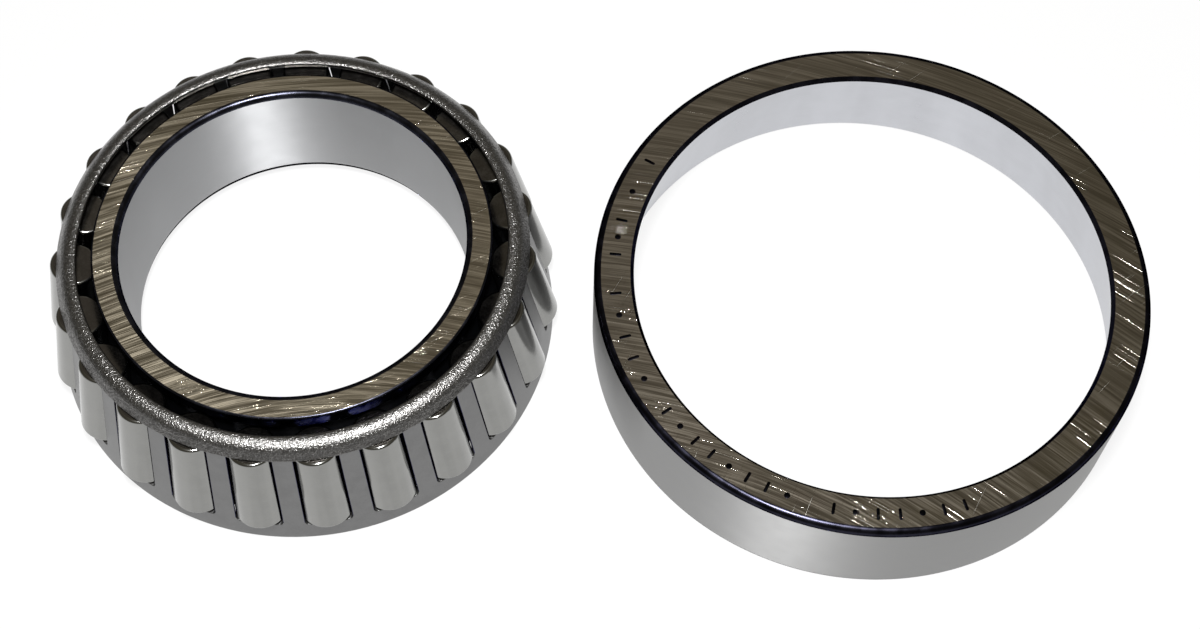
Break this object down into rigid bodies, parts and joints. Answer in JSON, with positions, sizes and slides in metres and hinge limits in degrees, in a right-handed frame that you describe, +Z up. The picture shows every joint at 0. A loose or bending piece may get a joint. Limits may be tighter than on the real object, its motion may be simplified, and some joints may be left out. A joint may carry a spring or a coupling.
{
  "type": "tapered roller bearing",
  "caption": "Separable single-row tapered roller bearing: inner ring with caged tapered rollers, and its loose outer ring (cup) lying beside it.",
  "frame": {"origin": "on the table, under the middle of the layout of the two units", "axes": "+X from the cone assembly towards the cup, +Y away from the viewer, +Z up, along both units' axes, from the cone's back face to its front face"},
  "size_m": [0.147, 0.0734, 0.0198],
  "materials": {
    "ring_steel": "ground faces with crossing grinding marks, polished bore, raceway and outside",
    "roller_steel": "superfinished",
    "cage_steel": "pressed and tumbled, satin, grainy on the rim"
  },
  "bodies": {
    "inner_ring": {"inner_ring": "ring_steel"},
    "cage": {"cage": "cage_steel"},
    "roller_01": {"roller_01": "roller_steel"},
    "roller_02": {"roller_02": "roller_steel"},
    "roller_03": {"roller_03": "roller_steel"},
    "roller_04": {"roller_04": "roller_steel"},
    "roller_05": {"roller_05": "roller_steel"},
    "roller_06": {"roller_06": "roller_steel"},
    "roller_07": {"roller_07": "roller_steel"},
    "roller_08": {"roller_08": "roller_steel"},
    "roller_09": {"roller_09": "roller_steel"},
    "roller_10": {"roller_10": "roller_steel"},
    "roller_11": {"roller_11": "roller_steel"},
    "roller_12": {"roller_12": "roller_steel"},
    "roller_13": {"roller_13": "roller_steel"},
    "roller_14": {"roller_14": "roller_steel"},
    "roller_15": {"roller_15": "roller_steel"},
    "roller_16": {"roller_16": "roller_steel"},
    "roller_17": {"roller_17": "roller_steel"},
    "roller_18": {"roller_18": "roller_steel"},
    "roller_19": {"roller_19": "roller_steel"},
    "roller_20": {"roller_20": "roller_steel"},
    "roller_21": {"roller_21": "roller_steel"},
    "roller_22": {"roller_22": "roller_steel"},
    "roller_23": {"roller_23": "roller_steel"},
    "cup": {"cup": "ring_steel"}
  },
  "joints": [
    {"name": "cage_spin", "type": "hinge", "parent": "inner_ring", "child": "cage", "pos_m": [-0.0393, 0, 0], "axis": [0, 0, 1], "continuous": true},
    {"name": "roller_01_spin", "type": "hinge", "parent": "cage", "child": "roller_01", "pos_m": [-0.00919, 0.00799, 0.00355], "axis": [-0.1763, -0.0468, 0.9832], "continuous": true},
    {"name": "roller_02_spin", "type": "hinge", "parent": "cage", "child": "roller_02", "pos_m": [-0.01246, 0.01581, 0.00355], "axis": [-0.1571, -0.0926, 0.9832], "continuous": true},
    {"name": "roller_03_spin", "type": "hinge", "parent": "cage", "child": "roller_03", "pos_m": [-0.01773, 0.02247, 0.00355], "axis": [-0.1263, -0.1316, 0.9832], "continuous": true},
    {"name": "roller_04_spin", "type": "hinge", "parent": "cage", "child": "roller_04", "pos_m": [-0.02459, 0.02746, 0.00355], "axis": [-0.0861, -0.1608, 0.9832], "continuous": true},
    {"name": "roller_05_spin", "type": "hinge", "parent": "cage", "child": "roller_05", "pos_m": [-0.03254, 0.03041, 0.00355], "axis": [-0.0396, -0.1781, 0.9832], "continuous": true},
    {"name": "roller_06_spin", "type": "hinge", "parent": "cage", "child": "roller_06", "pos_m": [-0.041, 0.0311, 0.00355], "axis": [0.0099, -0.1821, 0.9832], "continuous": true},
    {"name": "roller_07_spin", "type": "hinge", "parent": "cage", "child": "roller_07", "pos_m": [-0.04933, 0.02949, 0.00355], "axis": [0.0587, -0.1727, 0.9832], "continuous": true},
    {"name": "roller_08_spin", "type": "hinge", "parent": "cage", "child": "roller_08", "pos_m": [-0.05691, 0.02569, 0.00355], "axis": [0.1031, -0.1505, 0.9832], "continuous": true},
    {"name": "roller_09_spin", "type": "hinge", "parent": "cage", "child": "roller_09", "pos_m": [-0.06319, 0.01999, 0.00355], "axis": [0.1399, -0.1171, 0.9832], "continuous": true},
    {"name": "roller_10_spin", "type": "hinge", "parent": "cage", "child": "roller_10", "pos_m": [-0.0677, 0.0128, 0.00355], "axis": [0.1663, -0.075, 0.9832], "continuous": true},
    {"name": "roller_11_spin", "type": "hinge", "parent": "cage", "child": "roller_11", "pos_m": [-0.0701, 0.00467, 0.00355], "axis": [0.1803, -0.0273, 0.9832], "continuous": true},
    {"name": "roller_12_spin", "type": "hinge", "parent": "cage", "child": "roller_12", "pos_m": [-0.07021, -0.00381, 0.00355], "axis": [0.181, 0.0223, 0.9832], "continuous": true},
    {"name": "roller_13_spin", "type": "hinge", "parent": "cage", "child": "roller_13", "pos_m": [-0.06804, -0.01201, 0.00355], "axis": [0.1683, 0.0703, 0.9832], "continuous": true},
    {"name": "roller_14_spin", "type": "hinge", "parent": "cage", "child": "roller_14", "pos_m": [-0.06373, -0.01932, 0.00355], "axis": [0.1431, 0.1131, 0.9832], "continuous": true},
    {"name": "roller_15_spin", "type": "hinge", "parent": "cage", "child": "roller_15", "pos_m": [-0.05761, -0.0252, 0.00355], "axis": [0.1072, 0.1475, 0.9832], "continuous": true},
    {"name": "roller_16_spin", "type": "hinge", "parent": "cage", "child": "roller_16", "pos_m": [-0.05014, -0.0292, 0.00355], "axis": [0.0635, 0.171, 0.9832], "continuous": true},
    {"name": "roller_17_spin", "type": "hinge", "parent": "cage", "child": "roller_17", "pos_m": [-0.04186, -0.03104, 0.00355], "axis": [0.015, 0.1818, 0.9832], "continuous": true},
    {"name": "roller_18_spin", "type": "hinge", "parent": "cage", "child": "roller_18", "pos_m": [-0.03338, -0.03058, 0.00355], "axis": [-0.0346, 0.1791, 0.9832], "continuous": true},
    {"name": "roller_19_spin", "type": "hinge", "parent": "cage", "child": "roller_19", "pos_m": [-0.02535, -0.02785, 0.00355], "axis": [-0.0817, 0.1631, 0.9832], "continuous": true},
    {"name": "roller_20_spin", "type": "hinge", "parent": "cage", "child": "roller_20", "pos_m": [-0.01835, -0.02306, 0.00355], "axis": [-0.1226, 0.135, 0.9832], "continuous": true},
    {"name": "roller_21_spin", "type": "hinge", "parent": "cage", "child": "roller_21", "pos_m": [-0.01291, -0.01655, 0.00355], "axis": [-0.1545, 0.0969, 0.9832], "continuous": true},
    {"name": "roller_22_spin", "type": "hinge", "parent": "cage", "child": "roller_22", "pos_m": [-0.00942, -0.00882, 0.00355], "axis": [-0.1749, 0.0516, 0.9832], "continuous": true},
    {"name": "roller_23_spin", "type": "hinge", "parent": "cage", "child": "roller_23", "pos_m": [-0.00815, -0.00043, 0.00355], "axis": [-0.1824, 0.0025, 0.9832], "continuous": true},
    {"name": "cup_lift", "type": "slide", "parent": "inner_ring", "child": "cup", "axis": [0, 0, 1], "range_m": [0, 0.06]}
  ],
  "couplings": [
    {"joint": "roller_01_spin", "follows": "cage_spin", "ratio": 8.1785},
    {"joint": "roller_02_spin", "follows": "cage_spin", "ratio": 8.1785},
    {"joint": "roller_03_spin", "follows": "cage_spin", "ratio": 8.1785},
    {"joint": "roller_04_spin", "follows": "cage_spin", "ratio": 8.1785},
    {"joint": "roller_05_spin", "follows": "cage_spin", "ratio": 8.1785},
    {"joint": "roller_06_spin", "follows": "cage_spin", "ratio": 8.1785},
    {"joint": "roller_07_spin", "follows": "cage_spin", "ratio": 8.1785},
    {"joint": "roller_08_spin", "follows": "cage_spin", "ratio": 8.1785},
    {"joint": "roller_09_spin", "follows": "cage_spin", "ratio": 8.1785},
    {"joint": "roller_10_spin", "follows": "cage_spin", "ratio": 8.1785},
    {"joint": "roller_11_spin", "follows": "cage_spin", "ratio": 8.1785},
    {"joint": "roller_12_spin", "follows": "cage_spin", "ratio": 8.1785},
    {"joint": "roller_13_spin", "follows": "cage_spin", "ratio": 8.1785},
    {"joint": "roller_14_spin", "follows": "cage_spin", "ratio": 8.1785},
    {"joint": "roller_15_spin", "follows": "cage_spin", "ratio": 8.1785},
    {"joint": "roller_16_spin", "follows": "cage_spin", "ratio": 8.1785},
    {"joint": "roller_17_spin", "follows": "cage_spin", "ratio": 8.1785},
    {"joint": "roller_18_spin", "follows": "cage_spin", "ratio": 8.1785},
    {"joint": "roller_19_spin", "follows": "cage_spin", "ratio": 8.1785},
    {"joint": "roller_20_spin", "follows": "cage_spin", "ratio": 8.1785},
    {"joint": "roller_21_spin", "follows": "cage_spin", "ratio": 8.1785},
    {"joint": "roller_22_spin", "follows": "cage_spin", "ratio": 8.1785},
    {"joint": "roller_23_spin", "follows": "cage_spin", "ratio": 8.1785}
  ]
}
